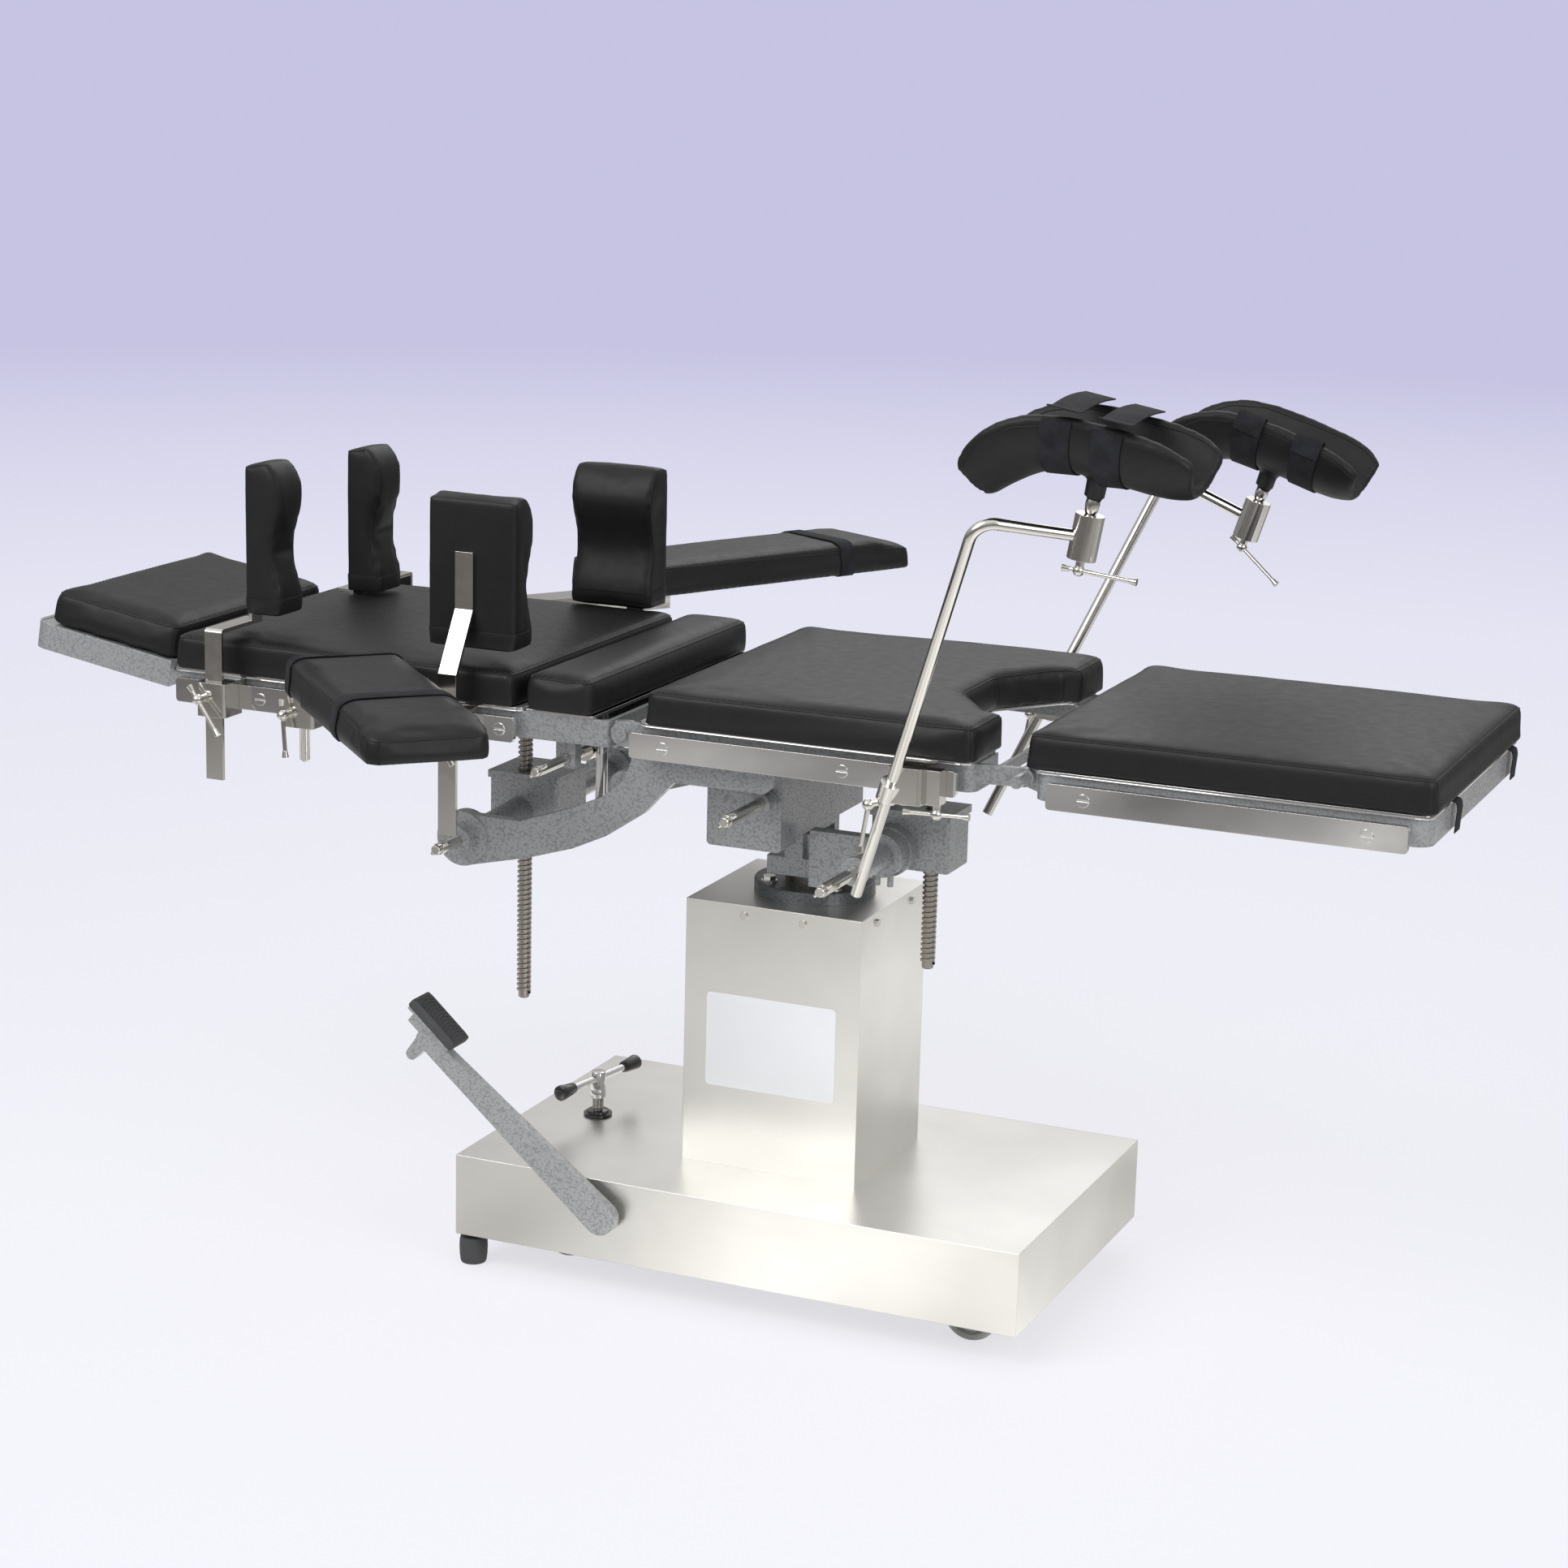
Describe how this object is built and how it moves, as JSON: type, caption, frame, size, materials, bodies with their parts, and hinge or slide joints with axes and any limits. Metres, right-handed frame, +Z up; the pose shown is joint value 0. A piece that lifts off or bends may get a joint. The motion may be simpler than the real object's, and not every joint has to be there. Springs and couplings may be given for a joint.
{
  "type": "operating table",
  "caption": "Hydraulic operating table: sectioned black cushions on grey frames with side rails, screw-driven tilts, leg holders, body supports and arm boards over a steel column and base.",
  "frame": {"origin": "on the floor under the centre of the column cover", "axes": "+X toward the foot end, the longest way; +Y away from the operator's cranks; +Z up"},
  "size_m": [1.9894, 1.5825, 1.2388],
  "materials": {
    "steel_cover": "satin sheet",
    "cast_grey": "matte",
    "bright_metal": "bright plated",
    "hammertone": "hammered grey, semi-gloss",
    "rubber": "matte",
    "wheel": "satin",
    "black_plastic": "gloss",
    "chrome": "polished",
    "nickel": "bright nickel",
    "dark_steel": "oiled",
    "leather": "semi-gloss black leatherette"
  },
  "bodies": {
    "base": {"base_cover": "steel_cover", "base_frame": "cast_grey", "column_cover": "steel_cover", "column_fasteners": "bright_metal", "lift_cylinder": "cast_grey", "pump": "cast_grey"},
    "pedal": {"pedal_arm": "hammertone", "pedal_pad": "rubber"},
    "foot_wheel_near": {"wheel_foot_near": "wheel"},
    "foot_wheel_far": {"wheel_foot_far": "wheel"},
    "castor_near": {"castor_fork_near": "bright_metal"},
    "castor_far": {"castor_fork_far": "bright_metal"},
    "head_wheel_near": {"wheel_head_near": "wheel"},
    "head_wheel_far": {"wheel_head_far": "wheel"},
    "foot_bar": {"foot_bar": "cast_grey", "rubber_feet": "rubber"},
    "brake": {"brake_handle": "chrome", "brake_knobs": "black_plastic"},
    "lift": {"ram": "dark_steel", "saddle": "hammertone"},
    "foot_gearbox": {"foot_gearbox": "hammertone"},
    "foot_crank": {"foot_crank": "chrome"},
    "foot_screw": {"foot_screw": "dark_steel"},
    "cradle": {"cradle": "hammertone"},
    "seat": {"seat_frame": "hammertone", "seat_pad": "leather", "seat_rails": "chrome", "tilt_gearbox": "hammertone", "actuator_arms": "hammertone", "leg_support_clamps": "nickel"},
    "tilt_crank": {"tilt_crank": "chrome"},
    "back_gearbox": {"back_gearbox": "hammertone"},
    "back_crank": {"back_crank": "chrome"},
    "back_screw": {"back_screw": "dark_steel"},
    "back": {"back_frame": "hammertone", "back_pad": "leather", "back_rails": "chrome", "back_rail_clamps": "nickel"},
    "kidney": {"kidney_bridge": "chrome", "kidney_pad": "leather"},
    "kidney_crank": {"kidney_crank": "chrome"},
    "leg": {"leg_frame": "hammertone", "leg_pad": "leather", "leg_rails": "chrome"},
    "head": {"head_frame": "hammertone", "head_pad": "leather"},
    "leg_rod_near": {"leg_rod_near": "nickel"},
    "leg_rod_far": {"leg_rod_far": "nickel"},
    "boot_near": {"leg_boot_near": "leather"},
    "boot_far": {"leg_boot_far": "leather"},
    "shoulder_near": {"shoulder_strap_near": "nickel", "shoulder_pad_near": "leather"},
    "shoulder_far": {"shoulder_strap_far": "nickel", "shoulder_pad_far": "leather"},
    "side_near": {"side_strap_near": "nickel", "side_pad_near": "leather"},
    "side_far": {"side_strap_far": "nickel", "side_pad_far": "leather"},
    "arm_board_near": {"arm_board_near": "leather"},
    "arm_board_far": {"arm_board_far": "leather"}
  },
  "joints": [
    {"name": "pedal_pivot", "type": "hinge", "parent": "base", "child": "pedal", "pos_m": [-0.174, -0.262, 0.113], "axis": [0, 1, 0], "range_deg": [-27, 0], "stiffness_Nm_per_rad": 6, "springref_deg": 60.16},
    {"name": "foot_wheel_near_spin", "type": "hinge", "parent": "base", "child": "foot_wheel_near", "pos_m": [0.317, -0.165, 0.0375], "axis": [0, 1, 0], "continuous": true},
    {"name": "foot_wheel_far_spin", "type": "hinge", "parent": "base", "child": "foot_wheel_far", "pos_m": [0.317, 0.165, 0.0375], "axis": [0, 1, 0], "continuous": true},
    {"name": "castor_near_swivel", "type": "hinge", "parent": "base", "child": "castor_near", "pos_m": [-0.257, -0.136, 0.08], "axis": [0, 0, 1], "continuous": true},
    {"name": "castor_far_swivel", "type": "hinge", "parent": "base", "child": "castor_far", "pos_m": [-0.257, 0.136, 0.08], "axis": [0, 0, 1], "continuous": true},
    {"name": "head_wheel_near_spin", "type": "hinge", "parent": "castor_near", "child": "head_wheel_near", "pos_m": [-0.282, -0.136, 0.0375], "axis": [0, 1, 0], "continuous": true},
    {"name": "head_wheel_far_spin", "type": "hinge", "parent": "castor_far", "child": "head_wheel_far", "pos_m": [-0.282, 0.136, 0.0375], "axis": [0, 1, 0], "continuous": true},
    {"name": "feet_raise", "type": "slide", "parent": "base", "child": "foot_bar", "axis": [0, 0, 1], "range_m": [0, 0.006]},
    {"name": "brake_turn", "type": "hinge", "parent": "base", "child": "brake", "pos_m": [-0.306, -0.006, 0.19], "axis": [0, 0, 1], "range_deg": [-5, 365]},
    {"name": "column_lift", "type": "slide", "parent": "base", "child": "lift", "axis": [0, 0, 1], "range_m": [0, 0.25]},
    {"name": "foot_gearbox_swing", "type": "hinge", "parent": "lift", "child": "foot_gearbox", "pos_m": [0.144, -0.09, 0.61], "axis": [0, 1, 0], "range_deg": [-19, 12]},
    {"name": "foot_screw_travel", "type": "slide", "parent": "foot_gearbox", "child": "foot_screw", "axis": [0, 0, 1], "range_m": [-0.0323, 0.0525]},
    {"name": "foot_crank_turn", "type": "hinge", "parent": "foot_gearbox", "child": "foot_crank", "pos_m": [0.144, -0.2, 0.61], "axis": [0, 1, 0], "range_deg": [-1578.1, 2616.8]},
    {"name": "long_tilt", "type": "hinge", "parent": "lift", "child": "cradle", "pos_m": [0.004, 0, 0.628], "axis": [0, 1, 0], "range_deg": [-20, 12]},
    {"name": "side_tilt", "type": "hinge", "parent": "cradle", "child": "seat", "pos_m": [0.004, 0, 0.69], "axis": [1, 0, 0], "range_deg": [-15, 15]},
    {"name": "tilt_crank_turn", "type": "hinge", "parent": "seat", "child": "tilt_crank", "pos_m": [0.004, -0.2, 0.678], "axis": [0, 1, 0], "range_deg": [-920, 920]},
    {"name": "back_section", "type": "hinge", "parent": "seat", "child": "back", "pos_m": [-0.1645, 0, 0.763], "axis": [0, 1, 0], "range_deg": [0, 60]},
    {"name": "back_gearbox_swing", "type": "hinge", "parent": "seat", "child": "back_gearbox", "pos_m": [-0.402, 0, 0.593], "axis": [0, 1, 0], "range_deg": [-1.5, 10.4]},
    {"name": "back_screw_travel", "type": "slide", "parent": "back_gearbox", "child": "back_screw", "axis": [0, 0, 1], "range_m": [-0.002, 0.2471]},
    {"name": "back_crank_turn", "type": "hinge", "parent": "back_gearbox", "child": "back_crank", "pos_m": [-0.402, -0.25, 0.593], "axis": [0, 1, 0], "range_deg": [-20, 12622.8]},
    {"name": "kidney_lift", "type": "slide", "parent": "back", "child": "kidney", "axis": [0, 0, 1], "range_m": [0, 0.09]},
    {"name": "kidney_crank_turn", "type": "hinge", "parent": "back", "child": "kidney_crank", "pos_m": [-0.258, -0.25, 0.714], "axis": [0, 1, 0], "range_deg": [-5, 387]},
    {"name": "leg_section", "type": "hinge", "parent": "seat", "child": "leg", "pos_m": [0.38, 0, 0.769], "axis": [0, 1, 0], "range_deg": [0, 90]},
    {"name": "head_section", "type": "hinge", "parent": "back", "child": "head", "pos_m": [-0.866, 0, 0.768], "axis": [0, 1, 0], "range_deg": [-45, 16]},
    {"name": "leg_rod_near_height", "type": "slide", "parent": "seat", "child": "leg_rod_near", "axis": [0.3507, -0.2983, 0.8877], "range_m": [-0.04, 0.12]},
    {"name": "leg_rod_far_height", "type": "slide", "parent": "seat", "child": "leg_rod_far", "axis": [0.3507, 0.2983, 0.8877], "range_m": [-0.04, 0.12]},
    {"name": "boot_near_turn", "type": "hinge", "parent": "leg_rod_near", "child": "boot_near", "pos_m": [0.478, -0.335, 1.09], "axis": [0.1668, 0, 0.986], "range_deg": [-90, 90]},
    {"name": "boot_far_turn", "type": "hinge", "parent": "leg_rod_far", "child": "boot_far", "pos_m": [0.479, 0.371, 1.013], "axis": [0.2924, 0, 0.9563], "range_deg": [-90, 90]},
    {"name": "shoulder_near_height", "type": "slide", "parent": "back", "child": "shoulder_near", "axis": [0, 0, 1], "range_m": [-0.008, 0.08]},
    {"name": "shoulder_far_height", "type": "slide", "parent": "back", "child": "shoulder_far", "axis": [0, 0, 1], "range_m": [0, 0.08]},
    {"name": "side_near_height", "type": "slide", "parent": "back", "child": "side_near", "axis": [0, 0, 1], "range_m": [0, 0.1]},
    {"name": "side_far_height", "type": "slide", "parent": "back", "child": "side_far", "axis": [0, 0, 1], "range_m": [0, 0.1]},
    {"name": "arm_board_near_swing", "type": "hinge", "parent": "back", "child": "arm_board_near", "pos_m": [-0.61, -0.279, 0.78], "axis": [0, 0, 1], "range_deg": [-80, 4]},
    {"name": "arm_board_far_swing", "type": "hinge", "parent": "back", "child": "arm_board_far", "pos_m": [-0.6, 0.279, 0.78], "axis": [0, 0, 1], "range_deg": [-20, 80]}
  ],
  "couplings": [
    {"joint": "brake_turn", "follows": "feet_raise", "rad_per_m": 1047.2},
    {"joint": "foot_gearbox_swing", "follows": "long_tilt", "ratio": 0.8735},
    {"joint": "foot_screw_travel", "follows": "long_tilt", "m_per_rad": -0.14465},
    {"joint": "foot_crank_turn", "follows": "long_tilt", "ratio": -129.84},
    {"joint": "tilt_crank_turn", "follows": "side_tilt", "ratio": 60},
    {"joint": "back_gearbox_swing", "follows": "back_section", "ratio": 0.1487},
    {"joint": "back_screw_travel", "follows": "back_section", "m_per_rad": 0.23401},
    {"joint": "back_crank_turn", "follows": "back_section", "ratio": 210.05},
    {"joint": "kidney_crank_turn", "follows": "kidney_lift", "rad_per_m": 74.074}
  ]
}
